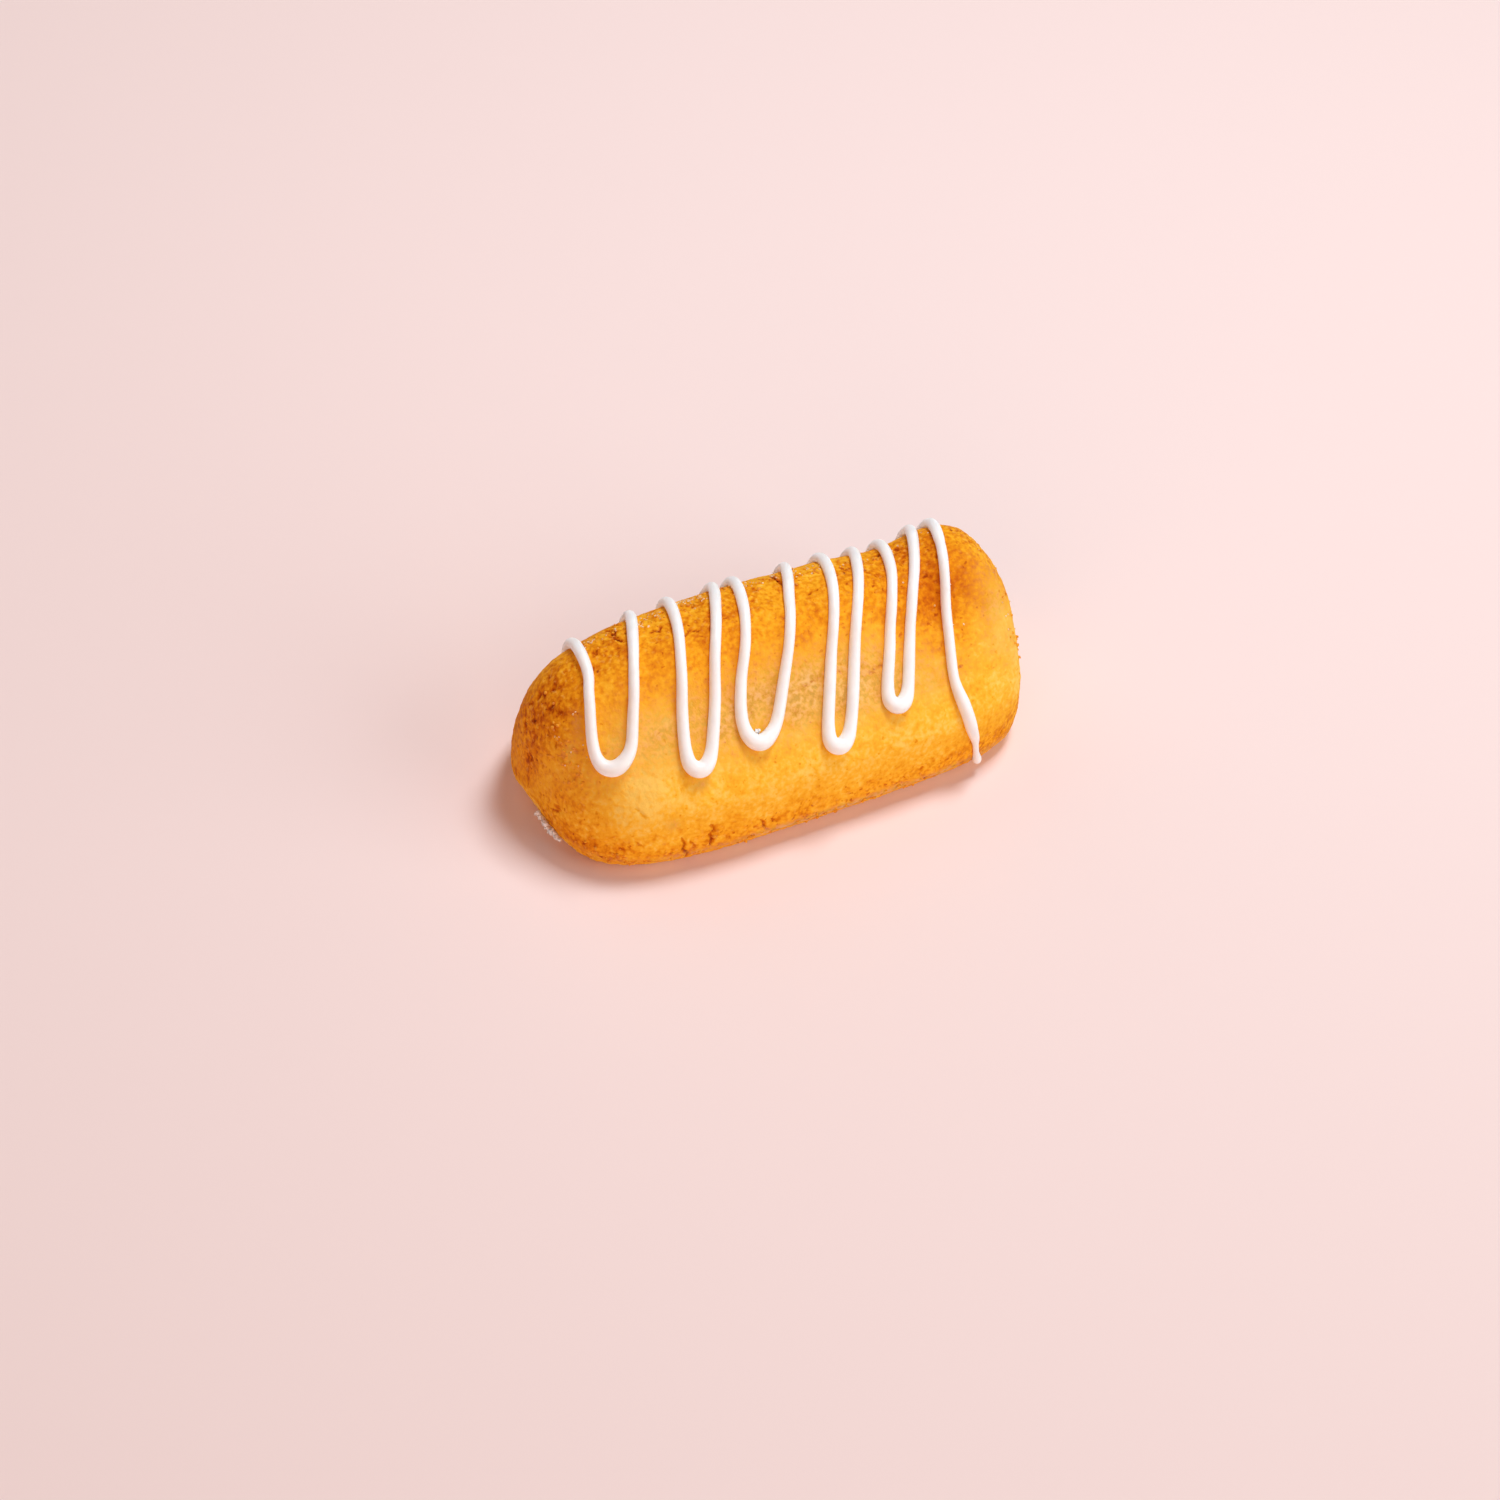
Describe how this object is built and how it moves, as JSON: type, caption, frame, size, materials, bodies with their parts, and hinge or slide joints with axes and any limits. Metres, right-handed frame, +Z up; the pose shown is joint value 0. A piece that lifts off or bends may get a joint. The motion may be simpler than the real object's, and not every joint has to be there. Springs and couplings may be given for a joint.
{
  "type": "kransekake bar",
  "caption": "Baked almond-paste bar with rounded ends, a flat underside and a pinched ridge, crossed by a zigzag thread of piped white icing.",
  "frame": {"origin": "middle of the flat underside, centred on the bounding box", "axes": "+X along the bar, +Z up from the flat underside to the ridge, -Y towards the flank on which the icing ends"},
  "size_m": [0.0783, 0.041, 0.0317],
  "materials": {
    "baked_crust": "matte, finely granular",
    "royal_icing": "smooth satin"
  },
  "bodies": {
    "root": {"kransekake_bar": "baked_crust"}
  },
  "joints": []
}
